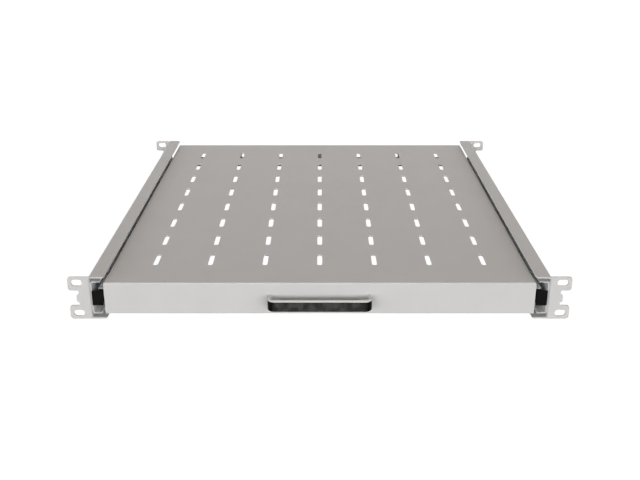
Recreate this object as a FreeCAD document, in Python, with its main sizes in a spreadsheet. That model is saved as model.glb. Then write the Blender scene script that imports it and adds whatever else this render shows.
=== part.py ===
import FreeCAD, Part
import math
import os
import re
import Sketcher

# Sliding rack shelf, one rack unit high, for a 19-inch rack. Millimetres.
# X runs to the right, Y to the rear and Z up. The origin is the middle of the front
# ears' four slots, on the ears' rear face, which lies against the rack's front posts.

DRIVING_SIZES = (
    # Ears and brackets
    ("ear_slot_span", 465.1),
    ("ear_edge", 8.75),
    ("ear_root", 11.05),
    ("ear_height", 44.0),
    ("ear_corner", 3.0),
    ("ear_slot_rise", 31.75),
    ("ear_slot_length", 10.5),
    ("ear_slot_width", 6.5),
    ("tab_height", 14.2),
    ("notch_depth", 9.9),
    ("notch_corner", 1.5),
    ("bump_reach", 2.5),
    ("bump_height", 8.3),
    ("bump_drop", 0.6),
    ("bump_corner", 2.2),
    ("bracket_depth", 500.0),
    ("bracket_sheet", 1.5),
    ("bracket_bend", 2.0),
    ("flange_overlap", 0.9),
    # Slides, measured from the bracket's web towards the tray
    ("slide_space", 12.7),
    ("slide_height", 34.0),
    ("slide_setback", 1.0),
    ("slide_rear_room", 49.0),
    ("rail_sheet", 1.5),
    ("rail_bend", 2.0),
    ("outer_tip_gap", 3.0),
    ("middle_head_gap", 1.1),
    ("middle_tip_gap", 2.3),
    ("middle_rail_setback", 36.0),
    ("inner_tip_gap", 0.5),
    ("inner_rail_setback", 6.5),
    ("rail_rear_gap", 0.4),
    ("ball_diameter", 4.0),
    ("ball_play", 0.1),
    ("race_depth", 0.5),
    ("race_lip", 2.1),
    ("ball_count", 9),
    ("ball_pitch", 16.0),
    ("cage_sheet", 1.0),
    ("cage_margin", 0.35),
    ("cage_web_gap", 0.3),
    ("cage_hole_play", 0.1),
    ("cage_end", 11.0),
    ("cage_front", 160.0),
    ("bumper_depth", 4.5),
    ("bumper_edge", 0.5),
    ("bumper_reach", 8.0),
    ("cap_plate", 1.2),
    ("cap_edge", 0.3),
    ("cap_web_gap", 1.1),
    ("cap_tray_gap", 0.95),
    ("cap_rail_gap", 0.3),
    ("cap_plug_depth", 16.0),
    # Tray
    ("tray_depth", 500.0),
    ("tray_height", 32.5),
    ("tray_top", 16.0),
    ("tray_sheet", 1.5),
    ("tray_bend", 2.0),
    ("tray_seam", 0.4),
    ("deck_slot_length", 27.0),
    ("deck_slot_width", 5.0),
    ("deck_slot_pitch", 55.0),
    ("deck_slot_columns", 7),
    ("deck_slot_rows", 8),
    ("tie_slot_length", 27.0),
    ("tie_slot_width", 5.0),
    ("tie_slot_near", 48.0),
    ("tie_slot_middle", 102.5),
    ("tie_slot_far", 163.5),
    # Fasteners
    ("screw_diameter", 4.0),
    ("screw_hole_play", 0.4),
    ("thread_play", 0.05),
    ("low_head_diameter", 7.0),
    ("low_head_height", 1.6),
    ("pan_head_diameter", 8.0),
    ("pan_head_height", 2.4),
    ("drive_width", 2.5),
    ("drive_depth", 1.0),
    ("screw_front", 62.0),
    ("screw_pitch", 160.0),
    ("screw_count", 3),
    # Pull
    ("handle_width", 99.5),
    ("handle_reach", 15.0),
    ("handle_wall", 3.5),
    ("handle_top", 4.0),
    ("handle_height", 11.6),
    ("handle_corner", 7.0),
    ("handle_flat", 0.05),
    ("grip_sheet", 1.0),
    ("grip_edge", 0.1),
    ("foot_width", 8.0),
    ("foot_height", 6.5),
    ("foot_screw_depth", 8.0),
)

doc = FreeCAD.newDocument("sliding_rack_shelf")
sheet = doc.addObject("Spreadsheet::Sheet", "Sizes")
for row, (alias, number) in enumerate(DRIVING_SIZES, start=1):
    sheet.set(f"A{row}", alias.replace("_", " "))
    sheet.set(f"B{row}", str(number))
    sheet.setAlias(f"B{row}", alias)
doc.recompute()

ALIASES = {alias for alias, number in DRIVING_SIZES}


def bound(formula):
    """Formula text with each size's name turned into a reference to its cell."""
    return re.sub(r"[a-z_]+", lambda word: f"Sizes.{word[0]}" if word[0] in ALIASES else word[0], formula)


def value(formula):
    """Present value of a formula."""
    return float(sheet.evalExpression(bound(formula)))


# Places that several pieces share, as formulas of the driving sizes
WEB_OUTSIDE = "(ear_slot_span / 2 - ear_root)"
WEB_INSIDE = f"({WEB_OUTSIDE} - bracket_sheet)"
EAR_TOP = "(ear_height / 2)"
EAR_EDGE = "(ear_slot_span / 2 + ear_edge)"
FRONT_FACE = "(-bracket_sheet)"
REAR_FACE = f"(bracket_depth + {FRONT_FACE})"
TRAY_SIDE = f"({WEB_INSIDE} - slide_space)"
TRAY_BOTTOM = "(tray_top - tray_height)"
PANEL_BACK = f"({FRONT_FACE} + tray_sheet)"
SLIDE_FRONT = f"({FRONT_FACE} + slide_setback)"
SLIDE_REAR = f"({REAR_FACE} - slide_rear_room)"
BUMPER_FRONT = f"({SLIDE_REAR} - bumper_depth)"
RAIL_REAR = f"({BUMPER_FRONT} - rail_rear_gap)"
RACE_GAP = "(ball_diameter - 2 * race_depth)"
OUTER_HALF = "(slide_height / 2)"
OUTER_RACE = f"({OUTER_HALF} - rail_sheet - {RACE_GAP} / 2)"
MIDDLE_HALF = f"({OUTER_HALF} - rail_sheet - {RACE_GAP})"
INNER_RACE = f"({MIDDLE_HALF} - rail_sheet - {RACE_GAP} / 2)"
INNER_HALF = f"({MIDDLE_HALF} - rail_sheet - {RACE_GAP})"
RACE_RADIUS = "(ball_diameter / 2 + ball_play)"
CAGE_HOLE = "(ball_diameter / 2 + cage_hole_play)"
CAGE_HALF_WIDTH = f"({CAGE_HOLE} + cage_margin)"
OUTER_REACH = "(slide_space - outer_tip_gap)"
MIDDLE_INSET = "(rail_sheet + low_head_height + middle_head_gap)"
MIDDLE_REACH = "(slide_space - middle_tip_gap)"
INNER_REACH = f"({MIDDLE_INSET} + rail_sheet + inner_tip_gap)"
OUTER_RACE_INSET = f"({OUTER_REACH} - race_lip)"
INNER_RACE_INSET = f"({MIDDLE_INSET} + rail_sheet + cage_web_gap + {CAGE_HALF_WIDTH})"
INNER_WEB = f"({TRAY_SIDE} + rail_sheet)"
FIRST_BALL = "(cage_front + cage_end)"
CAGE_LENGTH = "((ball_count - 1) * ball_pitch + 2 * cage_end)"
SCREW_HOLE = "(screw_diameter + screw_hole_play)"
THREAD_HOLE = "(screw_diameter + 2 * thread_play)"
HANDLE_FRONT = f"({FRONT_FACE} - handle_reach)"
HANDLE_SIDE = "(handle_width / 2)"
HANDLE_BOTTOM = "(handle_top - handle_height)"
HANDLE_INSIDE = f"({HANDLE_SIDE} - handle_wall)"
HANDLE_ROUND = "(handle_wall / 2 - handle_flat)"
GRIP_HEIGHT = f"(handle_height - {HANDLE_ROUND} - grip_edge)"
FOOT_MIDDLE = f"({HANDLE_INSIDE} - foot_width / 2)"
FOOT_SCREW_HEIGHT = f"({HANDLE_BOTTOM} + foot_height / 2)"


def from_web(distance):
    """X of a point at a distance from the right bracket's web, towards the tray."""
    return f"({WEB_INSIDE} - ({distance}))"


def new_body(label):
    body = doc.addObject("PartDesign::Body", label)
    body.Label = label
    body.AllowCompound = True
    return body


def new_sketch(body, name, role, place):
    """Sketch on an origin plane of the body, moved along that plane's axis to a place."""
    plane = next(item for item in body.Origin.OriginFeatures if item.Role == role)
    sketch = body.newObject("Sketcher::SketchObject", name)
    sketch.AttachmentSupport = (plane, [""])
    sketch.MapMode = "FlatFace"
    along_normal = f"-({place})" if role == "XZ_Plane" else place
    sketch.setExpression("AttachmentOffset.Base.z", bound(along_normal))
    return sketch


def fix(sketch, geometry, point, across, up):
    """Tie a point of the sketch to two formulas."""
    for kind, formula in (("DistanceX", across), ("DistanceY", up)):
        number = sketch.addConstraint(Sketcher.Constraint(kind, -1, 1, geometry, point, value(formula)))
        sketch.setExpression(f"Constraints[{number}]", bound(formula))


def fix_radius(sketch, geometry, formula):
    number = sketch.addConstraint(Sketcher.Constraint("Radius", geometry, value(formula)))
    sketch.setExpression(f"Constraints[{number}]", bound(formula))


def add_circle(sketch, across, up, radius):
    centre = FreeCAD.Vector(value(across), value(up), 0)
    circle = sketch.addGeometry(Part.Circle(centre, FreeCAD.Vector(0, 0, 1), value(radius)))
    fix(sketch, circle, 3, across, up)
    fix_radius(sketch, circle, radius)


def add_slot(sketch, across, up, length, width, upright=False):
    """Round-ended slot, lying along the sketch's first axis or standing along its second."""
    radius = value(width) / 2
    half_run = (value(length) - value(width)) / 2
    run = FreeCAD.Vector(0, half_run, 0) if upright else FreeCAD.Vector(half_run, 0, 0)
    side = FreeCAD.Vector(-radius, 0, 0) if upright else FreeCAD.Vector(0, radius, 0)
    turn = math.pi / 2 if upright else 0.0
    normal = FreeCAD.Vector(0, 0, 1)
    middle = FreeCAD.Vector(value(across), value(up), 0)
    end_arcs = []
    for sign, start in ((1, -math.pi / 2), (-1, math.pi / 2)):
        circle = Part.Circle(middle + run * sign, normal, radius)
        end_arcs.append(sketch.addGeometry(Part.ArcOfCircle(circle, start + turn, start + turn + math.pi)))
    top = sketch.addGeometry(Part.LineSegment(middle + run + side, middle - run + side))
    bottom = sketch.addGeometry(Part.LineSegment(middle - run - side, middle + run - side))
    first, second = end_arcs
    for before, after in ((first, top), (top, second), (second, bottom), (bottom, first)):
        sketch.addConstraint(Sketcher.Constraint("Tangent", before, 2, after, 1))
    sketch.addConstraint(Sketcher.Constraint("Equal", first, second))
    fix_radius(sketch, first, f"{width} / 2")
    for arc, sign in ((first, "+"), (second, "-")):
        shifted = f"{up if upright else across} {sign} ({length} - {width}) / 2"
        fix(sketch, arc, 3, across if upright else shifted, shifted if upright else up)


def add_outline(sketch, corners):
    """Closed outline through corners (across, up, radius or None); a radius rounds its corner."""
    count = len(corners)
    points = [FreeCAD.Vector(value(across), value(up), 0) for across, up, radius in corners]
    arrive, leave, arcs = [], [], []
    for index, (across, up, radius) in enumerate(corners):
        here = points[index]
        back = (points[index - 1] - here).normalize()
        ahead = (points[(index + 1) % count] - here).normalize()
        if radius is None:
            arrive.append(here)
            leave.append(here)
            arcs.append(None)
            continue
        half_angle = back.getAngle(ahead) / 2
        reach = value(radius) / math.tan(half_angle)
        centre = here + (back + ahead).normalize() * (value(radius) / math.sin(half_angle))
        arrive.append(here + back * reach)
        leave.append(here + ahead * reach)
        turns_left = (here - points[index - 1]).cross(points[(index + 1) % count] - here).z > 0
        ends = (arrive[-1], leave[-1]) if turns_left else (leave[-1], arrive[-1])
        angles = [math.atan2(end.y - centre.y, end.x - centre.x) for end in ends]
        circle = Part.Circle(centre, FreeCAD.Vector(0, 0, 1), value(radius))
        arc = sketch.addGeometry(Part.ArcOfCircle(circle, angles[0], angles[1]))
        arcs.append((arc, 1 if turns_left else 2, 2 if turns_left else 1))
    lines = [sketch.addGeometry(Part.LineSegment(leave[index], arrive[(index + 1) % count]))
             for index in range(count)]
    for index, (across, up, radius) in enumerate(corners):
        before, after = lines[index - 1], lines[index]
        if arcs[index] is None:
            sketch.addConstraint(Sketcher.Constraint("Coincident", before, 2, after, 1))
            fix(sketch, after, 1, across, up)
            continue
        corner = sketch.addGeometry(Part.Point(points[index]), True)
        fix(sketch, corner, 1, across, up)
        sketch.addConstraint(Sketcher.Constraint("PointOnObject", corner, 1, before))
        sketch.addConstraint(Sketcher.Constraint("PointOnObject", corner, 1, after))
        arc, first, last = arcs[index]
        sketch.addConstraint(Sketcher.Constraint("Tangent", before, 2, arc, first))
        sketch.addConstraint(Sketcher.Constraint("Tangent", arc, last, after, 1))
        fix_radius(sketch, arc, radius)


def add_rectangle(sketch, left, right, bottom, top):
    add_outline(sketch, ((left, bottom, None), (right, bottom, None), (right, top, None), (left, top, None)))


def pad(body, name, sketch, length, backwards=False):
    """Solid from a sketch, towards +X, +Y or +Z, or backwards from there."""
    on_section_plane = sketch.AttachmentSupport[0][0].Role == "XZ_Plane"
    feature = body.newObject("PartDesign::Pad", name)
    feature.Profile = sketch
    feature.Reversed = on_section_plane != backwards
    feature.setExpression("Length", bound(length))
    doc.recompute()
    return feature


def cut(body, name, sketch, depth=None, backwards=False):
    """Cut from a sketch, right through, or to a depth towards +X, +Y or +Z or backwards."""
    before = body.Shape.Volume
    on_section_plane = sketch.AttachmentSupport[0][0].Role == "XZ_Plane"
    feature = body.newObject("PartDesign::Pocket", name)
    feature.Profile = sketch
    if depth is None:
        feature.Type = "ThroughAll"
        feature.SideType = "Symmetric"
    else:
        feature.Reversed = on_section_plane == backwards
        feature.setExpression("Length", bound(depth))
    doc.recompute()
    if not body.Shape.Volume < before:
        raise RuntimeError(f"{body.Label}: {name} cuts nothing")
    return feature


def round_edges(body, name, radius, wanted):
    """Fillet on the body's edges that a test of (first point, last point) wants."""
    base = body.Tip
    names = []
    for index, edge in enumerate(base.Shape.Edges, start=1):
        if wanted(edge.Vertexes[0].Point, edge.Vertexes[-1].Point):
            names.append(f"Edge{index}")
    feature = body.newObject("PartDesign::Fillet", name)
    feature.Base = (base, names)
    feature.setExpression("Radius", bound(radius))
    doc.recompute()
    return feature


def same(first, second):
    return math.isclose(first, second, abs_tol=1e-4)


def mirrored(label, source):
    """Left-hand copy of a right-hand piece."""
    copy = doc.addObject("Part::Mirroring", label)
    copy.Label = label
    copy.Source = source
    copy.Normal = FreeCAD.Vector(1, 0, 0)
    return copy


def grouped(label, members):
    group = doc.addObject("Part::Compound", label)
    group.Label = label
    group.Links = members
    return group


def along_row(first, pitch, index):
    return f"({first} + {index} * {pitch})"


SCREW_ROW = [along_row("screw_front", "screw_pitch", index) for index in range(int(value("screw_count")))]


def channel(sketch, web, tip, half, sheet_name, bend):
    """C section with its web at one side, flanges towards the tip, and rounded outer bends."""
    towards_tip = "-" if value(tip) < value(web) else "+"
    web_face = f"({web} {towards_tip} {sheet_name})"
    add_outline(sketch, (
        (tip, half, None),
        (web, half, bend),
        (web, f"-{half}", bend),
        (tip, f"-{half}", None),
        (tip, f"-{half} + {sheet_name}", None),
        (web_face, f"-{half} + {sheet_name}", None),
        (web_face, f"{half} - {sheet_name}", None),
        (tip, f"{half} - {sheet_name}", None),
    ))


# Bracket: a steel channel open towards the tray, with an ear bent outwards at each end
right_bracket = new_body("right_bracket")
section = new_sketch(right_bracket, "bracket_section", "XZ_Plane", FRONT_FACE)
FLANGE_TIP = f"({TRAY_SIDE} - flange_overlap)"
channel(section, WEB_OUTSIDE, FLANGE_TIP, EAR_TOP, "bracket_sheet", "bracket_bend")
pad(right_bracket, "bracket_channel", section, "bracket_depth")

NOTCH_FLOOR = f"({EAR_EDGE} - notch_depth)"
BUMP_EDGE = f"({NOTCH_FLOOR} + bump_reach)"
BUMP_TOP = "(bump_height / 2 - bump_drop)"
BUMP_BOTTOM = "(-bump_height / 2 - bump_drop)"
TAB_INNER = f"({EAR_TOP} - tab_height)"
EAR_OUTLINE = (
    (WEB_INSIDE, f"-{EAR_TOP}", None),
    (EAR_EDGE, f"-{EAR_TOP}", "ear_corner"),
    (EAR_EDGE, f"-{TAB_INNER}", "ear_corner"),
    (NOTCH_FLOOR, f"-{TAB_INNER}", "notch_corner"),
    (NOTCH_FLOOR, BUMP_BOTTOM, None),
    (BUMP_EDGE, BUMP_BOTTOM, "bump_corner"),
    (BUMP_EDGE, BUMP_TOP, "bump_corner"),
    (NOTCH_FLOOR, BUMP_TOP, None),
    (NOTCH_FLOOR, TAB_INNER, "notch_corner"),
    (EAR_EDGE, TAB_INNER, "ear_corner"),
    (EAR_EDGE, EAR_TOP, "ear_corner"),
    (WEB_INSIDE, EAR_TOP, None),
)
for end, ear_front in (("front", FRONT_FACE), ("rear", f"({REAR_FACE} - bracket_sheet)")):
    ear = new_sketch(right_bracket, f"{end}_ear_outline", "XZ_Plane", ear_front)
    add_outline(ear, EAR_OUTLINE)
    pad(right_bracket, f"{end}_ear", ear, "bracket_sheet")

ear_slots = new_sketch(right_bracket, "ear_slots", "XZ_Plane", FRONT_FACE)
for sign in ("", "-"):
    add_slot(ear_slots, "ear_slot_span / 2", f"{sign}ear_slot_rise / 2", "ear_slot_length", "ear_slot_width")
cut(right_bracket, "ear_slot_cut", ear_slots)

bracket_holes = new_sketch(right_bracket, "rail_screw_holes", "YZ_Plane", "0")
for place in SCREW_ROW:
    add_circle(bracket_holes, place, "0", f"{THREAD_HOLE} / 2")
cut(right_bracket, "rail_screw_hole_cut", bracket_holes)

round_edges(right_bracket, "ear_bends", "bracket_bend", lambda first, last:
            same(first.x, value(WEB_INSIDE)) and same(last.x, value(WEB_INSIDE))
            and same(first.y, last.y)
            and (same(first.y, value(FRONT_FACE)) or same(first.y, value(REAR_FACE)))
            and abs(first.z - last.z) > value(EAR_TOP))

# Outer rail: the slide's fixed channel, screwed to the bracket's web
right_outer_rail = new_body("right_outer_rail")
section = new_sketch(right_outer_rail, "outer_section", "XZ_Plane", SLIDE_FRONT)
channel(section, WEB_INSIDE, from_web(OUTER_REACH), OUTER_HALF, "rail_sheet", "rail_bend")
pad(right_outer_rail, "outer_channel", section, f"{SLIDE_REAR} - {SLIDE_FRONT}")
races = new_sketch(right_outer_rail, "outer_races", "XZ_Plane", SLIDE_FRONT)
for sign in ("", "-"):
    add_circle(races, from_web(OUTER_RACE_INSET), f"{sign}{OUTER_RACE}", RACE_RADIUS)
cut(right_outer_rail, "outer_race_cut", races)
holes = new_sketch(right_outer_rail, "outer_screw_holes", "YZ_Plane", "0")
for place in SCREW_ROW:
    add_circle(holes, place, "0", f"{SCREW_HOLE} / 2")
cut(right_outer_rail, "outer_screw_hole_cut", holes)

# Middle rail: the slide's intermediate channel, with ball races outside and inside its flanges
right_middle_rail = new_body("right_middle_rail")
MIDDLE_FRONT = f"({FRONT_FACE} + middle_rail_setback)"
section = new_sketch(right_middle_rail, "middle_section", "XZ_Plane", MIDDLE_FRONT)
channel(section, from_web(MIDDLE_INSET), from_web(MIDDLE_REACH), MIDDLE_HALF, "rail_sheet", "rail_bend")
pad(right_middle_rail, "middle_channel", section, f"{RAIL_REAR} - {MIDDLE_FRONT}")
races = new_sketch(right_middle_rail, "middle_races", "XZ_Plane", MIDDLE_FRONT)
for sign in ("", "-"):
    add_circle(races, from_web(OUTER_RACE_INSET), f"{sign}{OUTER_RACE}", RACE_RADIUS)
    add_circle(races, from_web(INNER_RACE_INSET), f"{sign}{INNER_RACE}", RACE_RADIUS)
cut(right_middle_rail, "middle_race_cut", races)

# Inner rail: the channel on the tray's side wall, open towards the bracket
right_inner_rail = new_body("right_inner_rail")
INNER_FRONT = f"({FRONT_FACE} + inner_rail_setback)"
section = new_sketch(right_inner_rail, "inner_section", "XZ_Plane", INNER_FRONT)
channel(section, TRAY_SIDE, from_web(INNER_REACH), INNER_HALF, "rail_sheet", "rail_bend")
pad(right_inner_rail, "inner_channel", section, f"{RAIL_REAR} - {INNER_FRONT}")
races = new_sketch(right_inner_rail, "inner_races", "XZ_Plane", INNER_FRONT)
for sign in ("", "-"):
    add_circle(races, from_web(INNER_RACE_INSET), f"{sign}{INNER_RACE}", RACE_RADIUS)
cut(right_inner_rail, "inner_race_cut", races)
holes = new_sketch(right_inner_rail, "inner_screw_holes", "YZ_Plane", "0")
for place in SCREW_ROW:
    add_circle(holes, place, "0", f"{THREAD_HOLE} / 2")
cut(right_inner_rail, "inner_screw_hole_cut", holes)


def ball_strips(label, inset, race_height):
    """Upper and lower strip with a hole for each ball."""
    body = new_body(label)
    for level, sign in (("upper", ""), ("lower", "-")):
        strip = new_sketch(body, f"{label}_{level}", "XY_Plane", f"{sign}{race_height} - cage_sheet / 2")
        left = f"{from_web(inset)} - {CAGE_HALF_WIDTH}"
        right = f"{from_web(inset)} + {CAGE_HALF_WIDTH}"
        add_rectangle(strip, left, right, "cage_front", f"cage_front + {CAGE_LENGTH}")
        for index in range(int(value("ball_count"))):
            add_circle(strip, from_web(inset), along_row(FIRST_BALL, "ball_pitch", index), CAGE_HOLE)
        pad(body, f"{label}_{level}_strip", strip, "cage_sheet")
    return body


def ball_rows(label, inset, race_height):
    """Balls of the upper and lower race."""
    balls = []
    for sign in ("", "-"):
        for index in range(int(value("ball_count"))):
            ball = doc.addObject("Part::Sphere", f"{label}_ball")
            ball.setExpression("Radius", bound("ball_diameter / 2"))
            ball.setExpression("Placement.Base.x", bound(from_web(inset)))
            ball.setExpression("Placement.Base.y", bound(along_row(FIRST_BALL, "ball_pitch", index)))
            ball.setExpression("Placement.Base.z", bound(f"{sign}{race_height}"))
            balls.append(ball)
    return grouped(label, balls)


# Ball strips and balls between the rails
right_outer_cages = ball_strips("right_outer_cages", OUTER_RACE_INSET, OUTER_RACE)
right_outer_balls = ball_rows("right_outer_balls", OUTER_RACE_INSET, OUTER_RACE)
right_inner_cages = ball_strips("right_inner_cages", INNER_RACE_INSET, INNER_RACE)
right_inner_balls = ball_rows("right_inner_balls", INNER_RACE_INSET, INNER_RACE)

# Rear bumper: a rubber stop on the outer rail's web, behind the middle and inner rails
right_rear_bumper = new_body("right_rear_bumper")
section = new_sketch(right_rear_bumper, "bumper_section", "XZ_Plane", BUMPER_FRONT)
add_rectangle(section, from_web("rail_sheet + bumper_reach"), from_web("rail_sheet"),
              f"-({MIDDLE_HALF} - bumper_edge)", f"{MIDDLE_HALF} - bumper_edge")
pad(right_rear_bumper, "bumper_block", section, "bumper_depth")

# End cap: a plate in front of the slide with a plug in the inner rail
right_end_cap = new_body("right_end_cap")
CAP_BACK = f"({SLIDE_FRONT} - cap_rail_gap)"
CAP_FRONT = f"({CAP_BACK} - cap_plate)"
plate = new_sketch(right_end_cap, "cap_outline", "XZ_Plane", CAP_FRONT)
add_rectangle(plate, f"({TRAY_SIDE} + cap_tray_gap)", from_web("cap_web_gap"),
              f"-({INNER_HALF} - cap_edge)", f"{INNER_HALF} - cap_edge")
pad(right_end_cap, "cap_front_plate", plate, "cap_plate")
plug = new_sketch(right_end_cap, "plug_section", "XZ_Plane", CAP_BACK)
add_rectangle(plug, INNER_WEB, from_web(INNER_REACH),
              f"-({INNER_HALF} - rail_sheet)", f"{INNER_HALF} - rail_sheet")
pad(right_end_cap, "cap_plug", plug, f"{INNER_FRONT} - {CAP_BACK} + cap_plug_depth")

# Tray: one folded sheet with a slotted deck, a front panel, two side walls and a rear flange
shelf_tray = new_body("shelf_tray")
block = new_sketch(shelf_tray, "tray_outline", "XY_Plane", TRAY_BOTTOM)
TRAY_REAR = f"({FRONT_FACE} + tray_depth)"
add_rectangle(block, f"-{TRAY_SIDE}", TRAY_SIDE, FRONT_FACE, TRAY_REAR)
pad(shelf_tray, "tray_block", block, "tray_height")
round_edges(shelf_tray, "tray_bends", "tray_bend", lambda first, last:
            same(first.z, value("tray_top")) and same(last.z, value("tray_top")))
hollow = new_sketch(shelf_tray, "tray_hollow_outline", "XY_Plane", TRAY_BOTTOM)
add_rectangle(hollow, f"-{TRAY_SIDE} + tray_sheet", f"{TRAY_SIDE} - tray_sheet",
              PANEL_BACK, f"{TRAY_REAR} - tray_sheet")
cut(shelf_tray, "tray_hollow", hollow, "tray_height - tray_sheet")

seams = new_sketch(shelf_tray, "corner_seams", "XY_Plane", TRAY_BOTTOM)
WALL_INSIDE = f"({TRAY_SIDE} - tray_sheet)"
for left, right in ((WALL_INSIDE, TRAY_SIDE), (f"-{TRAY_SIDE}", f"-{WALL_INSIDE}")):
    add_rectangle(seams, left, right, PANEL_BACK, f"{PANEL_BACK} + tray_seam")
    add_rectangle(seams, left, right, f"{TRAY_REAR} - tray_sheet - tray_seam", f"{TRAY_REAR} - tray_sheet")
cut(shelf_tray, "corner_seam_cut", seams, "tray_height - tray_bend")

first_slot = new_sketch(shelf_tray, "deck_slot", "XY_Plane", "tray_top")
SLOT_GRID_WIDTH = "((deck_slot_columns - 1) * deck_slot_pitch)"
SLOT_GRID_DEPTH = "((deck_slot_rows - 1) * deck_slot_pitch)"
add_slot(first_slot, f"-{SLOT_GRID_WIDTH} / 2", f"{FRONT_FACE} + (tray_depth - {SLOT_GRID_DEPTH}) / 2",
         "deck_slot_length", "deck_slot_width", upright=True)
slot_cut = cut(shelf_tray, "deck_slot_cut", first_slot)
slot_grid = shelf_tray.newObject("PartDesign::LinearPattern", "deck_slot_grid")
slot_grid.Originals = [slot_cut]
slot_grid.Direction = (first_slot, ["H_Axis"])
slot_grid.Direction2 = (first_slot, ["V_Axis"])
slot_grid.setExpression("Length", bound(SLOT_GRID_WIDTH))
slot_grid.setExpression("Length2", bound(SLOT_GRID_DEPTH))
slot_grid.setExpression("Occurrences", bound("deck_slot_columns"))
slot_grid.setExpression("Occurrences2", bound("deck_slot_rows"))
shelf_tray.Tip = slot_grid
doc.recompute()

tie_slots = new_sketch(shelf_tray, "tie_slots", "XZ_Plane", TRAY_REAR)
for place in ("tie_slot_near", "tie_slot_middle", "tie_slot_far"):
    for sign in ("", "-"):
        add_slot(tie_slots, f"{sign}{place}", "0", "tie_slot_length", "tie_slot_width")
cut(shelf_tray, "tie_slot_cut", tie_slots, "2 * tray_sheet", backwards=True)

holes = new_sketch(shelf_tray, "side_screw_holes", "YZ_Plane", "0")
for place in SCREW_ROW:
    add_circle(holes, place, "0", f"{SCREW_HOLE} / 2")
cut(shelf_tray, "side_screw_hole_cut", holes)

handle_holes = new_sketch(shelf_tray, "handle_screw_holes", "XZ_Plane", FRONT_FACE)
for sign in ("", "-"):
    add_circle(handle_holes, f"{sign}{FOOT_MIDDLE}", FOOT_SCREW_HEIGHT, f"{SCREW_HOLE} / 2")
cut(shelf_tray, "handle_screw_hole_cut", handle_holes, "2 * tray_sheet")


def bow_ring(sketch, inset):
    """Plan of a bow's wall from its outside to an inset, open at the panel."""
    inner_corner = f"handle_corner - {inset}"
    add_outline(sketch, (
        (f"-{HANDLE_SIDE}", FRONT_FACE, None),
        (f"-{HANDLE_SIDE}", HANDLE_FRONT, "handle_corner"),
        (HANDLE_SIDE, HANDLE_FRONT, "handle_corner"),
        (HANDLE_SIDE, FRONT_FACE, None),
        (f"{HANDLE_SIDE} - {inset}", FRONT_FACE, None),
        (f"{HANDLE_SIDE} - {inset}", f"{HANDLE_FRONT} + {inset}", inner_corner),
        (f"-{HANDLE_SIDE} + {inset}", f"{HANDLE_FRONT} + {inset}", inner_corner),
        (f"-{HANDLE_SIDE} + {inset}", FRONT_FACE, None),
    ))


# Handle bow: a round-edged wall bent around a finger gap, with two feet for its screws
handle_bow = new_body("handle_bow")
plan = new_sketch(handle_bow, "bow_plan", "XY_Plane", HANDLE_BOTTOM)
bow_ring(plan, "handle_wall")
pad(handle_bow, "bow_wall", plan, "handle_height")
round_edges(handle_bow, "bow_top_round", HANDLE_ROUND, lambda first, last:
            same(first.z, value("handle_top")) and same(last.z, value("handle_top"))
            and not (same(first.y, value(FRONT_FACE)) and same(last.y, value(FRONT_FACE))))
recess = new_sketch(handle_bow, "grip_recess", "XY_Plane", HANDLE_BOTTOM)
bow_ring(recess, "grip_sheet")
cut(handle_bow, "grip_recess_cut", recess, GRIP_HEIGHT)
feet = new_sketch(handle_bow, "bow_feet", "XY_Plane", HANDLE_BOTTOM)
WALL_MIDDLE = "(handle_wall / 2)"
for sign in ("", "-"):
    inner = f"{sign}({HANDLE_INSIDE} - foot_width)"
    outer = f"{sign}({HANDLE_SIDE} - {WALL_MIDDLE})"
    front = f"({HANDLE_FRONT} + {WALL_MIDDLE})"
    add_outline(feet, (
        (inner, front, None),
        (outer, front, f"handle_corner - {WALL_MIDDLE}"),
        (outer, FRONT_FACE, None),
        (inner, FRONT_FACE, None),
    ))
pad(handle_bow, "bow_foot_blocks", feet, "foot_height")
foot_holes = new_sketch(handle_bow, "foot_holes", "XZ_Plane", FRONT_FACE)
for sign in ("", "-"):
    add_circle(foot_holes, f"{sign}{FOOT_MIDDLE}", FOOT_SCREW_HEIGHT, f"{THREAD_HOLE} / 2")
cut(handle_bow, "foot_hole_cut", foot_holes, "foot_screw_depth", backwards=True)

# Handle grip: the black strip let into the bow's outer face
handle_grip = new_body("handle_grip")
plan = new_sketch(handle_grip, "grip_plan", "XY_Plane", HANDLE_BOTTOM)
bow_ring(plan, "grip_sheet")
pad(handle_grip, "grip_strip", plan, GRIP_HEIGHT)


def screws(label, role, spots, seat, head_diameter, head_height, shank_length, head_forward):
    """Screws with a hexagon drive; the head stands on the seat and the shank runs the other way."""
    body = new_body(label)
    heads = new_sketch(body, f"{label}_heads", role, seat)
    for across, up in spots:
        add_circle(heads, across, up, f"{head_diameter} / 2")
    pad(body, f"{label}_head", heads, head_height, backwards=not head_forward)
    shanks = new_sketch(body, f"{label}_shanks", role, seat)
    for across, up in spots:
        add_circle(shanks, across, up, "screw_diameter / 2")
    pad(body, f"{label}_shank", shanks, shank_length, backwards=head_forward)
    drives = new_sketch(body, f"{label}_drives", role, f"{seat} {'+' if head_forward else '-'} {head_height}")
    corner_distance = f"drive_width / {math.sqrt(3)}"
    for across, up in spots:
        corners = []
        for angle in range(0, 360, 60):
            corner_across = f"{across} + {corner_distance} * cos({angle})"
            corner_up = f"{up} + {corner_distance} * sin({angle})"
            corners.append((corner_across, corner_up, None))
        add_outline(drives, corners)
    cut(body, f"{label}_drive", drives, "drive_depth", backwards=head_forward)
    return body


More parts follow.
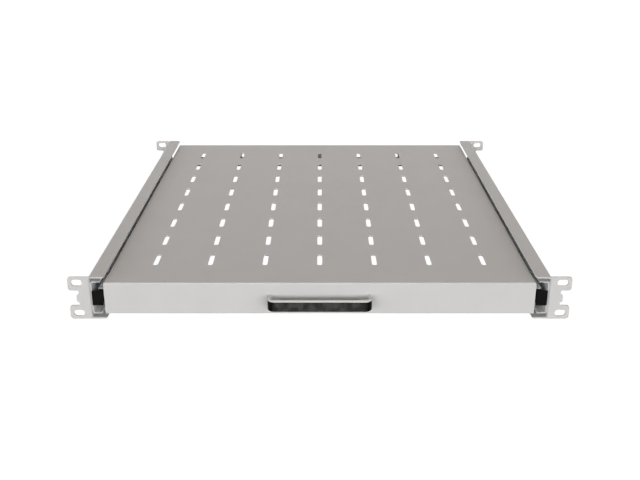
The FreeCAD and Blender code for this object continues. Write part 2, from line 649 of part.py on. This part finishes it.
# Screws of the outer rails, the inner rails and the handle
SIDE_SPOTS = [(place, "0") for place in SCREW_ROW]
right_outer_screws = screws("right_outer_rail_screws", "YZ_Plane", SIDE_SPOTS, from_web("rail_sheet"),
                            "low_head_diameter", "low_head_height", "rail_sheet + bracket_sheet", False)
right_inner_screws = screws("right_inner_rail_screws", "YZ_Plane", SIDE_SPOTS, f"({TRAY_SIDE} - tray_sheet)",
                            "pan_head_diameter", "pan_head_height", "tray_sheet + rail_sheet", False)
HANDLE_SPOTS = [(f"{sign}{FOOT_MIDDLE}", FOOT_SCREW_HEIGHT) for sign in ("", "-")]
handle_screws = screws("handle_screws", "XZ_Plane", HANDLE_SPOTS, PANEL_BACK,
                       "pan_head_diameter", "pan_head_height", "tray_sheet + foot_screw_depth", True)

pieces = [shelf_tray, handle_bow, handle_grip, handle_screws]
for piece in (right_bracket, right_outer_rail, right_middle_rail, right_inner_rail, right_rear_bumper,
              right_end_cap, right_outer_cages, right_outer_balls, right_inner_cages, right_inner_balls):
    pieces.append(piece)
    pieces.append(mirrored(piece.Label.replace("right", "left"), piece))
SIDE_SCREWS = (("outer_rail_screws", right_outer_screws), ("inner_rail_screws", right_inner_screws))
for label, right_set in SIDE_SCREWS:
    pieces.append(grouped(label, [right_set, mirrored(f"left_{label}", right_set)]))
doc.recompute()

for item in doc.Objects:
    if "Invalid" in item.State or "Error" in item.State:
        raise RuntimeError(f"{item.Label} failed: {item.State}")
for piece in pieces:
    if piece.Shape.isNull() or not piece.Shape.isValid():
        raise RuntimeError(f"{piece.Label} has no valid shape")

os.makedirs("parts", exist_ok=True)
for piece in pieces:
    piece.Shape.exportStep(f"parts/{piece.Label}.step")
    print(piece.Label, len(piece.Shape.Solids), round(piece.Shape.Volume, 1))
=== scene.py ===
import math

import bmesh
import bpy
from mathutils import Matrix, Vector


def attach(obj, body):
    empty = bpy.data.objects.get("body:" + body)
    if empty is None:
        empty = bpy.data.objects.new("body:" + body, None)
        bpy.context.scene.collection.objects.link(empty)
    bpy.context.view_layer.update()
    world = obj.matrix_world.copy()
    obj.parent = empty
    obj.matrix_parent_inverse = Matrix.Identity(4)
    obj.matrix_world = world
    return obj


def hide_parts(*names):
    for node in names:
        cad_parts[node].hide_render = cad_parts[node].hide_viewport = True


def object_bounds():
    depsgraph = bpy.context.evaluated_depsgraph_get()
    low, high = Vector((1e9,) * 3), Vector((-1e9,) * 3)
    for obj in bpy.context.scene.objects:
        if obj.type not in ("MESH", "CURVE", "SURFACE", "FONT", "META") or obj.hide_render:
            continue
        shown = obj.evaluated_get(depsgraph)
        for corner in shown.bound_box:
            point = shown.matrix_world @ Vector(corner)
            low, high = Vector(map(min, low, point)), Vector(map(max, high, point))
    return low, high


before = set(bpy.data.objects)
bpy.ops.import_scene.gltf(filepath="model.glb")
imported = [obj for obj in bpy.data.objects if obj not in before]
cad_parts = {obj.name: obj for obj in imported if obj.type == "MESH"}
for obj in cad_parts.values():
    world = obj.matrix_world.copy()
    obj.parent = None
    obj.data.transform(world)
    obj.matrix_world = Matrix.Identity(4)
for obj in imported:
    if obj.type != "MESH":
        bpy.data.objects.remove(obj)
cad_low, cad_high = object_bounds()

# Brackets: two channels folded from 1.5 mm steel sheet, with a slotted ear bent out at each end.
# They are powder coated light grey after folding, and the coat rounds over their punched edges.
MILLIMETRE = 0.001
MERGE_DISTANCE = 0.001 * MILLIMETRE
FLAT_DISTANCE = 0.01 * MILLIMETRE
FLAT_ANGLE = math.radians(0.5)
SHARP_ANGLE = math.radians(50)
EDGE_SEGMENTS = 3
BRACKET_EDGE = 0.3 * MILLIMETRE
FLANGE_CORNER = 3.0 * MILLIMETRE
FLANGE_CORNER_SEGMENTS = 8


def solid_copy(node):
    """Solid of a node, merged, with its flat faces whole."""
    shape = bmesh.new()
    shape.from_mesh(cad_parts[node].data)
    bmesh.ops.remove_doubles(shape, verts=shape.verts, dist=MERGE_DISTANCE)
    bmesh.ops.dissolve_limit(shape, angle_limit=FLAT_ANGLE, verts=shape.verts, edges=shape.edges)
    return shape


def round_over(shape, edge_radius, segments, held_back=False):
    """Rounds every sharp edge of a shape and marks the new faces; held back, short edges limit the radius."""
    mark = shape.faces.layers.float.new("edge_face")
    sharp = [edge for edge in shape.edges if edge.calc_face_angle(0.0) > SHARP_ANGLE]
    made = bmesh.ops.bevel(shape, geom=sharp, offset=edge_radius, offset_type="OFFSET", affect="EDGES",
                           segments=segments, profile=0.5, material=-1, clamp_overlap=held_back)
    for face in made["faces"]:
        face[mark] = 1.0


def bracket_sheet(node):
    """Folded bracket with the four corners of its flanges' tips cut round."""
    shape = solid_copy(node)
    tip = min(abs(vert.co.x) for vert in shape.verts)
    at_tip = {vert for vert in shape.verts if abs(vert.co.x) - tip < FLAT_DISTANCE}
    corners = [edge for edge in shape.edges if at_tip.issuperset(edge.verts)
               and abs(edge.verts[0].co.y - edge.verts[1].co.y) < FLAT_DISTANCE]
    bmesh.ops.bevel(shape, geom=corners, offset=FLANGE_CORNER, offset_type="OFFSET", affect="EDGES",
                    segments=FLANGE_CORNER_SEGMENTS, profile=0.5, material=-1)
    round_over(shape, BRACKET_EDGE, EDGE_SEGMENTS, held_back=True)
    return shape


def finished(name, shape, material):
    """Object at the origin from a shape, smooth over its rounded edges and flat on its flats."""
    mesh = bpy.data.meshes.new(name)
    shape.to_mesh(mesh)
    shape.free()
    mesh.shade_smooth()
    mesh.set_sharp_from_angle(angle=SHARP_ANGLE)
    mesh.materials.append(material)
    piece = bpy.data.objects.new(name, mesh)
    bpy.context.scene.collection.objects.link(piece)
    flats = piece.modifiers.new("flat_faces", "WEIGHTED_NORMAL")
    flats.keep_sharp = True
    return piece


def grey(level):
    """Neutral colour, from black at 0 to white at 1."""
    return (level, level, level, 1.0)


FULL_RANGE = (0.0, 1.0)
NO_STRETCH = (1.0, 1.0, 1.0)
NOISE_DETAIL = 2.0
COAT_LIGHT = grey(0.641)
COAT_DARK = grey(0.621)
COAT_GRAIN_SHADE = grey(0.560)
COAT_EDGE_HIGHLIGHT = grey(0.690)
COAT_SHEEN = 0.35
COAT_ROUGHNESS = (0.40, 0.52)
COAT_RELIEF = 0.3
COAT_RELIEF_DEPTH = 0.05 * MILLIMETRE
MOTTLE_PER_METRE = 30.0
MOTTLE_DETAIL = 4.0
MOTTLE_RANGE = (0.35, 0.65)
GRAIN_PER_METRE = 2600.0
GRAIN_RANGE = (0.42, 0.72)
GRAIN_SHADE_SHARE = (0.0, 0.5)
SATIN_PER_METRE = 120.0
SATIN_RANGE = (0.3, 0.7)


def new_finish(name):
    """Material with its node tree and its shader."""
    material = bpy.data.materials.new(name)
    material.use_nodes = True
    tree = material.node_tree
    return material, tree, tree.nodes["Principled BSDF"]


def add_node(tree, kind, inputs=(), **settings):
    """Shader node with its settings and its unlinked inputs."""
    made = tree.nodes.new(kind)
    for setting, wanted in settings.items():
        setattr(made, setting, wanted)
    for socket, wanted in inputs:
        made.inputs[socket].default_value = wanted
    return made


def add_noise(tree, per_metre, detail=NOISE_DETAIL, stretch=NO_STRETCH):
    """Noise on the object's own coordinates, with about this many features to the metre."""
    place = add_node(tree, "ShaderNodeTexCoord")
    mapping = add_node(tree, "ShaderNodeMapping", (("Scale", stretch),))
    noise = add_node(tree, "ShaderNodeTexNoise", (("Scale", per_metre), ("Detail", detail)))
    tree.links.new(place.outputs["Object"], mapping.inputs["Vector"])
    tree.links.new(mapping.outputs["Vector"], noise.inputs["Vector"])
    return noise.outputs["Fac"]


def spread(tree, factor, given, wanted=FULL_RANGE):
    """Value stretched from one range to another."""
    low, high = given
    to_low, to_high = wanted
    limits = (("From Min", low), ("From Max", high), ("To Min", to_low), ("To Max", to_high))
    ramp = add_node(tree, "ShaderNodeMapRange", limits)
    tree.links.new(factor, ramp.inputs["Value"])
    return ramp.outputs["Result"]


def blend_colours(tree, factor, first, second):
    """Colour between two colours; each is a colour or the output of another node."""
    mix = add_node(tree, "ShaderNodeMix", data_type="RGBA")
    tree.links.new(factor, mix.inputs["Factor"])
    for socket, colour in (("A", first), ("B", second)):
        target = next(item for item in mix.inputs if item.name == socket and item.type == "RGBA")
        if isinstance(colour, tuple):
            target.default_value = colour
        else:
            tree.links.new(colour, target)
    return next(item for item in mix.outputs if item.type == "RGBA")


def raise_bumps(tree, shader, height, strength, depth):
    """Small relief on a shader from a height."""
    bump = add_node(tree, "ShaderNodeBump", (("Strength", strength), ("Distance", depth)))
    tree.links.new(height, bump.inputs["Height"])
    tree.links.new(bump.outputs["Normal"], shader.inputs["Normal"])


def edge_share(tree):
    """1 on a piece's rounded edges and 0 on its flats."""
    return add_node(tree, "ShaderNodeAttribute", attribute_name="edge_face").outputs["Fac"]


def powder_coat():
    """Satin powder coat: faint mottle, fine orange peel with painted shade in its grain, and paler rounded
    edges, which are a painted highlight.
    """
    material, tree, shader = new_finish("grey_powder_coat")
    shader.inputs["Specular IOR Level"].default_value = COAT_SHEEN
    mottle = spread(tree, add_noise(tree, MOTTLE_PER_METRE, MOTTLE_DETAIL), MOTTLE_RANGE)
    colour = blend_colours(tree, mottle, COAT_DARK, COAT_LIGHT)
    grain = add_noise(tree, GRAIN_PER_METRE)
    # Painted shade: the fine grain darkens the coat in small specks, which stand in for the shadows of its
    # texture.
    grain_shaded = blend_colours(tree, spread(tree, grain, GRAIN_RANGE, GRAIN_SHADE_SHARE), colour, COAT_GRAIN_SHADE)
    # Painted highlight: the rounded edges, marked in edge_face, are paler than the flats.
    painted_edge_highlight = blend_colours(tree, edge_share(tree), grain_shaded, COAT_EDGE_HIGHLIGHT)
    tree.links.new(painted_edge_highlight, shader.inputs["Base Color"])
    satin = spread(tree, add_noise(tree, SATIN_PER_METRE), SATIN_RANGE, COAT_ROUGHNESS)
    tree.links.new(satin, shader.inputs["Roughness"])
    raise_bumps(tree, shader, grain, COAT_RELIEF, COAT_RELIEF_DEPTH)
    return material


grey_coat = powder_coat()
for side in ("left", "right"):
    bracket = finished(f"{side}_bracket_sheet", bracket_sheet(f"{side}_bracket"), grey_coat)
    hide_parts(f"{side}_bracket")
    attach(bracket, "frame")

# Slides: roll-formed steel rails with bright zinc plating, three to a side, drawn along their length.
# The outer rail is screwed to the bracket, the inner one to the tray, and the middle one runs between.
SHEARED_EDGE = 0.15 * MILLIMETRE
FINE_SEGMENTS = 2
CUT_FACING = 0.9
CUT_STEEL = (0.54, 0.54, 0.545, 1.0)
ZINC_LIGHT = (0.94, 0.945, 0.95, 1.0)
ZINC_DARK = (0.80, 0.81, 0.825, 1.0)
ZINC_METAL = 0.18
ZINC_ROUGHNESS = (0.34, 0.50)
ALONG_RAIL = (1.0, 0.02, 1.0)
CLOUDS_PER_METRE = 60.0
CLOUD_DETAIL = 4.0
CLOUD_RANGE = (0.3, 0.7)
STREAKS_PER_METRE = 900.0
STREAK_DETAIL = 3.0
STREAK_COLOUR_RANGE = (0.45, 0.75)
STREAK_GLOSS_RANGE = (0.3, 0.7)
STREAK_RELIEF = 0.15
STREAK_RELIEF_DEPTH = 0.05 * MILLIMETRE


def softened(node, edge_radius, segments=EDGE_SEGMENTS):
    """Solid of a node with its sharp edges rounded."""
    shape = solid_copy(node)
    round_over(shape, edge_radius, segments)
    return shape


def sheared_rail(node):
    """Rolled rail with its sheared ends marked in its cut_end attribute."""
    shape = softened(node, SHEARED_EDGE, FINE_SEGMENTS)
    shape.normal_update()
    mark = shape.faces.layers.float.new("cut_end")
    for face in shape.faces:
        face[mark] = float(abs(face.normal.y) > CUT_FACING)
    return shape


def plated(name, metal, light, dark, roughness, stretch=NO_STRETCH):
    """Plated or polished steel: cloudy colour, fine streaks, and bare steel on ends marked as cut."""
    material, tree, shader = new_finish(name)
    shader.inputs["Metallic"].default_value = metal
    cloud = spread(tree, add_noise(tree, CLOUDS_PER_METRE, CLOUD_DETAIL), CLOUD_RANGE)
    plating = blend_colours(tree, cloud, dark, light)
    lines = add_noise(tree, STREAKS_PER_METRE, STREAK_DETAIL, stretch)
    streaked = blend_colours(tree, spread(tree, lines, STREAK_COLOUR_RANGE), plating, dark)
    bare = add_node(tree, "ShaderNodeAttribute", attribute_name="cut_end").outputs["Fac"]
    tree.links.new(blend_colours(tree, bare, streaked, CUT_STEEL), shader.inputs["Base Color"])
    tree.links.new(spread(tree, lines, STREAK_GLOSS_RANGE, roughness), shader.inputs["Roughness"])
    raise_bumps(tree, shader, lines, STREAK_RELIEF, STREAK_RELIEF_DEPTH)
    return material


zinc_rail = plated("zinc_plated_rail", ZINC_METAL, ZINC_LIGHT, ZINC_DARK, ZINC_ROUGHNESS, ALONG_RAIL)
for side in ("left", "right"):
    for rail, body in (("outer_rail", "frame"), ("middle_rail", "middle_rails"), ("inner_rail", "tray")):
        profile = finished(f"{side}_{rail}_profile", sheared_rail(f"{side}_{rail}"), zinc_rail)
        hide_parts(f"{side}_{rail}")
        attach(profile, body)

# Ball strips and balls: stamped steel strips that space the polished steel balls between the rails.
# The balls roll in the rails' grooves, so a strip travels half as far as one rail moves past the other.
STEEL_METAL = 1.0
STRIP_LIGHT = grey(0.60)
STRIP_DARK = (0.44, 0.44, 0.45, 1.0)
STRIP_ROUGHNESS = (0.32, 0.50)
BALL_LIGHT = (0.80, 0.81, 0.83, 1.0)
BALL_DARK = (0.70, 0.71, 0.74, 1.0)
BALL_ROUGHNESS = (0.06, 0.12)
BALL_SEGMENTS = 24
BALL_RINGS = 14


def ball_places(node):
    """Centre and radius of each ball in a node, from the box around each of its separate solids."""
    solids = bmesh.new()
    solids.from_mesh(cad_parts[node].data)
    bmesh.ops.remove_doubles(solids, verts=solids.verts, dist=MERGE_DISTANCE)
    unseen = set(solids.verts)
    places = []
    while unseen:
        island = [unseen.pop()]
        for vert in island:
            near = [edge.other_vert(vert) for edge in vert.link_edges]
            plain_black = [other for other in near if other in unseen]
            unseen.difference_update(plain_black)
            island.extend(plain_black)
        low = Vector([min(vert.co[axis] for vert in island) for axis in range(3)])
        high = Vector([max(vert.co[axis] for vert in island) for axis in range(3)])
        places.append(((low + high) / 2, (high.z - low.z) / 2))
    solids.free()
    return places


def ball_set(node):
    """Round balls where a node has its balls."""
    shape = bmesh.new()
    for centre, radius in ball_places(node):
        bmesh.ops.create_uvsphere(shape, u_segments=BALL_SEGMENTS, v_segments=BALL_RINGS, radius=radius,
                                  matrix=Matrix.Translation(centre))
    return shape


cage_steel = plated("stamped_strip_steel", STEEL_METAL, STRIP_LIGHT, STRIP_DARK, STRIP_ROUGHNESS, ALONG_RAIL)
ball_steel = plated("polished_ball_steel", STEEL_METAL, BALL_LIGHT, BALL_DARK, BALL_ROUGHNESS)
for side in ("left", "right"):
    for race in ("outer", "inner"):
        strip_shape = softened(f"{side}_{race}_cages", SHEARED_EDGE, FINE_SEGMENTS)
        strips = finished(f"{side}_{race}_ball_strips", strip_shape, cage_steel)
        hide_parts(f"{side}_{race}_cages")
        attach(strips, f"{race}_cages")
        balls = finished(f"{side}_{race}_bearing_balls", ball_set(f"{side}_{race}_balls"), ball_steel)
        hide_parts(f"{side}_{race}_balls")
        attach(balls, f"{race}_cages")

# Rear bumpers: moulded black rubber blocks, one on the web of each outer rail at its rear end.
# They stand behind the middle and inner rails and soften the stop when the tray is pushed in.
RUBBER_EDGE = 0.8 * MILLIMETRE
RUBBER_LIGHT = grey(0.030)
RUBBER_DARK = grey(0.015)
RUBBER_SHEEN = 0.2
RUBBER_ROUGHNESS = (0.70, 0.85)
RUBBER_GRAIN_PER_METRE = 1800.0
RUBBER_RELIEF = 0.3
MOULDING_CLOUDS_PER_METRE = 90.0
MOULDING_CLOUD_DETAIL = 4.0
MOULDING_CLOUD_RANGE = (0.35, 0.65)
MOULDING_RELIEF_DEPTH = 0.1 * MILLIMETRE


def moulded_black(name, light, dark, sheen, roughness, grain_per_metre, relief):
    """Black moulding with a fine texture and slight changes in colour and gloss."""
    material, tree, shader = new_finish(name)
    shader.inputs["Specular IOR Level"].default_value = sheen
    clouds = add_noise(tree, MOULDING_CLOUDS_PER_METRE, MOULDING_CLOUD_DETAIL)
    cloud = spread(tree, clouds, MOULDING_CLOUD_RANGE)
    tree.links.new(blend_colours(tree, cloud, dark, light), shader.inputs["Base Color"])
    tree.links.new(spread(tree, cloud, FULL_RANGE, roughness), shader.inputs["Roughness"])
    raise_bumps(tree, shader, add_noise(tree, grain_per_metre), relief, MOULDING_RELIEF_DEPTH)
    return material


black_rubber = moulded_black("black_rubber_block", RUBBER_LIGHT, RUBBER_DARK, RUBBER_SHEEN,
                             RUBBER_ROUGHNESS, RUBBER_GRAIN_PER_METRE, RUBBER_RELIEF)
for side in ("left", "right"):
    bumper = finished(f"{side}_rubber_stop", softened(f"{side}_rear_bumper", RUBBER_EDGE), black_rubber)
    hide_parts(f"{side}_rear_bumper")
    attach(bumper, "frame")

# End caps: moulded black plastic plates that close the slides' open front ends.
# A plug on the back of each sits in the inner rail, so the caps move with the tray.
CAP_EDGE = 0.4 * MILLIMETRE
CAP_LIGHT = grey(0.007)
CAP_DARK = grey(0.004)
CAP_SHEEN = 0.06
CAP_ROUGHNESS = (0.42, 0.55)
CAP_GRAIN_PER_METRE = 2400.0
CAP_RELIEF = 0.2
black_plastic = moulded_black("black_cap_plastic", CAP_LIGHT, CAP_DARK, CAP_SHEEN,
                              CAP_ROUGHNESS, CAP_GRAIN_PER_METRE, CAP_RELIEF)
for side in ("left", "right"):
    cap = finished(f"{side}_cap_moulding", softened(f"{side}_end_cap", CAP_EDGE), black_plastic)
    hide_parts(f"{side}_end_cap")
    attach(cap, "tray")

# Tray: one sheet of 1.5 mm steel, punched with rows of slots and folded down on all four sides.
# It has the brackets' light grey powder coat and is screwed to the inner rails through its side walls.
TRAY_EDGE = 0.3 * MILLIMETRE
tray = finished("folded_tray_sheet", softened("shelf_tray", TRAY_EDGE), grey_coat)
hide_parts("shelf_tray")
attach(tray, "tray")

# Pull: a bow of coated metal with a round top edge, and a black plastic strip let into its outside.
# Its feet stand on the front panel and are screwed from behind. The strip's flat front is painted paler in
# blotches, a painted reflection, and its ends and edges stay black.
PULL_EDGE = 0.2 * MILLIMETRE
GRIP_LIGHT = grey(0.003)
GRIP_DARK = grey(0.001)
GRIP_PAINTED_REFLECTION = grey(0.061)
GRIP_SHEEN = 0.03
GRIP_ROUGHNESS = (0.34, 0.46)
GRIP_GRAIN_PER_METRE = 1500.0
GRIP_RELIEF = 0.12
FALLING = (1.0, 0.0)
REFLECTION_ENDS = 46.0 * MILLIMETRE
REFLECTION_FADE = 5.0 * MILLIMETRE
REFLECTION_ON_EDGES = 0.35
PATCHES_PER_METRE = 150.0
PATCH_DETAIL = 5.0
PATCH_RANGE = (0.38, 0.62)
PATCH_REFLECTION = (0.46, 1.0)


def combine(tree, operation, first, second):
    """Sum, product or larger one of two values."""
    made = add_node(tree, "ShaderNodeMath", operation=operation)
    tree.links.new(first, made.inputs[0])
    tree.links.new(second, made.inputs[1])
    return made.outputs["Value"]


def grip_with_painted_reflection():
    """Black grip plastic with a painted reflection: paler in blotches on its flat front, black on its ends
    and edges.
    """
    material = moulded_black("black_grip_plastic", GRIP_LIGHT, GRIP_DARK, GRIP_SHEEN,
                             GRIP_ROUGHNESS, GRIP_GRAIN_PER_METRE, GRIP_RELIEF)
    tree = material.node_tree
    shader = tree.nodes["Principled BSDF"]
    plain_black = shader.inputs["Base Color"].links[0].from_socket
    place = add_node(tree, "ShaderNodeTexCoord")
    axes = add_node(tree, "ShaderNodeSeparateXYZ")
    tree.links.new(place.outputs["Object"], axes.inputs["Vector"])
    sideways = add_node(tree, "ShaderNodeMath", operation="ABSOLUTE")
    tree.links.new(axes.outputs["X"], sideways.inputs["Value"])
    front = spread(tree, sideways.outputs["Value"], (REFLECTION_ENDS - REFLECTION_FADE, REFLECTION_ENDS), FALLING)
    flat = spread(tree, edge_share(tree), FULL_RANGE, (1.0, REFLECTION_ON_EDGES))
    patches = spread(tree, add_noise(tree, PATCHES_PER_METRE, PATCH_DETAIL), PATCH_RANGE, PATCH_REFLECTION)
    # Painted reflection: the flat middle of the front is lighter in blotches, fading to black at the ends and
    # on the rounded edges.
    painted_reflection = combine(tree, "MULTIPLY", combine(tree, "MULTIPLY", front, flat), patches)
    tree.links.new(blend_colours(tree, painted_reflection, plain_black, GRIP_PAINTED_REFLECTION), shader.inputs["Base Color"])
    return material


black_grip = grip_with_painted_reflection()
bow = finished("pull_bow", softened("handle_bow", PULL_EDGE, FINE_SEGMENTS), grey_coat)
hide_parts("handle_bow")
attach(bow, "tray")
grip = finished("pull_grip_strip", softened("handle_grip", PULL_EDGE, FINE_SEGMENTS), black_grip)
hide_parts("handle_grip")
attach(grip, "tray")

# Screws: zinc-plated steel screws with hexagon sockets, in three sets.
# Low heads hold the outer rails to the brackets inside the slides. Pan heads hold the inner rails to the
# tray and the pull to its front panel.
SCREW_EDGE = 0.25 * MILLIMETRE
SCREW_LIGHT = (0.68, 0.69, 0.70, 1.0)
SCREW_DARK = (0.55, 0.56, 0.57, 1.0)
SCREW_ROUGHNESS = (0.24, 0.36)
SCREW_SETS = (("outer_rail_screws", "frame"), ("inner_rail_screws", "tray"), ("handle_screws", "tray"))
zinc_screw = plated("zinc_plated_screw", STEEL_METAL, SCREW_LIGHT, SCREW_DARK, SCREW_ROUGHNESS)
for set_name, body in SCREW_SETS:
    screw_set = finished(f"{set_name}_turned", softened(set_name, SCREW_EDGE, FINE_SEGMENTS), zinc_screw)
    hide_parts(set_name)
    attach(screw_set, body)

# Camera: stands in front of the shelf and above it, at the photograph's viewing angle.
# Its place and dip were fitted to the slots of the ears, whose spacing the rack standard gives.
CAMERA_PLACE = (0.0, -0.777719, 0.362461)
CAMERA_DIP = math.radians(21.294)
CAMERA_LENS = 50.0
CAMERA_SHIFT = 0.0004
camera_data = bpy.data.cameras.new("photo_camera")
camera_data.lens = CAMERA_LENS
camera_data.shift_x = CAMERA_SHIFT
camera = bpy.data.objects.new("photo_camera", camera_data)
camera.location = CAMERA_PLACE
camera.rotation_euler = (math.pi / 2 - CAMERA_DIP, 0.0, 0.0)
bpy.context.scene.collection.objects.link(camera)
bpy.context.scene.camera = camera
bpy.context.scene.view_settings.view_transform = "Standard"

# Lamp: one broad, slightly warm softbox overhead, a little to the front of the shelf.
# It lights the deck and the tops of the flanges, and leaves soft shadows below them.
LAMP_ELEVATION = math.radians(80.0)
LAMP_STRENGTH = 0.59
LAMP_SOFTNESS = math.radians(40.0)
LAMP_COLOUR = (1.17, 1.00, 0.85)
lamp_data = bpy.data.lights.new("top_softbox", "SUN")
lamp_data.energy = LAMP_STRENGTH
lamp_data.angle = LAMP_SOFTNESS
lamp_data.color = LAMP_COLOUR
lamp = bpy.data.objects.new("top_softbox", lamp_data)
lamp.rotation_euler = (math.pi / 2 - LAMP_ELEVATION, 0.0, 0.0)
bpy.context.scene.collection.objects.link(lamp)

# Floor: a wide studio floor well below the shelf, which is see-through from underneath.
# It looks white to the camera and in reflections, and throws back only a little light onto the shelf.
FLOOR_DROP = 0.6
FLOOR_SIZE = 30.0
FLOOR_PALE = grey(0.35)
FLOOR_GLOW = 0.88
WHITE = grey(1.0)


def seen_directly(tree):
    """1 for what the camera, a reflection or a see-through surface shows, and 0 for light on the object."""
    path = add_node(tree, "ShaderNodeLightPath")
    shown = combine(tree, "MAXIMUM", path.outputs["Is Camera Ray"], path.outputs["Is Glossy Ray"])
    return combine(tree, "MAXIMUM", shown, path.outputs["Is Transmission Ray"])


def choose_shader(tree, factor, first, second):
    """Shader that is the first where the factor is 0 and the second where it is 1."""
    chosen = add_node(tree, "ShaderNodeMixShader")
    tree.links.new(factor, chosen.inputs["Fac"])
    tree.links.new(first, chosen.inputs[1])
    tree.links.new(second, chosen.inputs[2])
    return chosen.outputs["Shader"]


def studio_white():
    """Floor finish: white where it is seen, with the shelf's soft shadow, and pale grey to other light."""
    material = bpy.data.materials.new("white_studio_floor")
    material.use_nodes = True
    tree = material.node_tree
    tree.nodes.clear()
    pale = add_node(tree, "ShaderNodeBsdfDiffuse", (("Color", FLOOR_PALE),)).outputs["BSDF"]
    glow = add_node(tree, "ShaderNodeEmission", (("Color", WHITE), ("Strength", FLOOR_GLOW)))
    white = add_node(tree, "ShaderNodeAddShader")
    tree.links.new(glow.outputs["Emission"], white.inputs[0])
    tree.links.new(pale, white.inputs[1])
    upper_side = choose_shader(tree, seen_directly(tree), pale, white.outputs["Shader"])
    from_below = add_node(tree, "ShaderNodeNewGeometry").outputs["Backfacing"]
    clear = add_node(tree, "ShaderNodeBsdfTransparent").outputs["BSDF"]
    output = add_node(tree, "ShaderNodeOutputMaterial")
    tree.links.new(choose_shader(tree, from_below, upper_side, clear), output.inputs["Surface"])
    return material


plane = bmesh.new()
bmesh.ops.create_grid(plane, x_segments=1, y_segments=1, size=FLOOR_SIZE / 2,
                      matrix=Matrix.Translation((0.0, 0.0, cad_low[2] - FLOOR_DROP)))
floor_mesh = bpy.data.meshes.new("studio_floor")
plane.to_mesh(floor_mesh)
plane.free()
floor_mesh.materials.append(studio_white())
floor = bpy.data.objects.new("studio_floor", floor_mesh)
bpy.context.scene.collection.objects.link(floor)

# Sky: plain white all round, as the camera and reflections see it.
# Its light on the shelf comes from a low soft band, strong in front, weak at the sides and middling behind.
BAND_FRONT = 5.55
BAND_SIDE = 0.3
BAND_BACK = 1.1
BAND_TURN = 0.2
BAND_FOOT = 0.06
BAND_FADE = 0.25
BAND_TOP = 0.40
SKY_FILL = 0.08
SKY_WHITE = 1.0
DUE_FRONT = -1.0
DUE_BACK = 1.0
world = bpy.data.worlds.new("pale_sky")
world.use_nodes = True
bpy.context.scene.world = world
sky_tree = world.node_tree
sky_place = add_node(sky_tree, "ShaderNodeTexCoord")
direction = add_node(sky_tree, "ShaderNodeSeparateXYZ")
sky_tree.links.new(sky_place.outputs["Generated"], direction.inputs["Vector"])
front_part = spread(sky_tree, direction.outputs["Y"], (DUE_FRONT, -BAND_TURN), (BAND_FRONT, BAND_SIDE))
back_part = spread(sky_tree, direction.outputs["Y"], (BAND_TURN, DUE_BACK), (0.0, BAND_BACK))
around = combine(sky_tree, "ADD", front_part, back_part)
above_foot = spread(sky_tree, direction.outputs["Z"], (-BAND_FOOT, BAND_FOOT))
below_top = spread(sky_tree, direction.outputs["Z"], (BAND_FADE, BAND_TOP), FALLING)
band = combine(sky_tree, "MULTIPLY", combine(sky_tree, "MULTIPLY", above_foot, below_top), around)
softbox = add_node(sky_tree, "ShaderNodeMath", ((1, SKY_FILL),), operation="ADD")
sky_tree.links.new(band, softbox.inputs[0])
level = add_node(sky_tree, "ShaderNodeMix", (("B", SKY_WHITE),), data_type="FLOAT")
sky_tree.links.new(seen_directly(sky_tree), level.inputs["Factor"])
sky_tree.links.new(softbox.outputs["Value"], level.inputs["A"])
backdrop = sky_tree.nodes["Background"]
backdrop.inputs["Color"].default_value = WHITE
sky_tree.links.new(level.outputs["Result"], backdrop.inputs["Strength"])
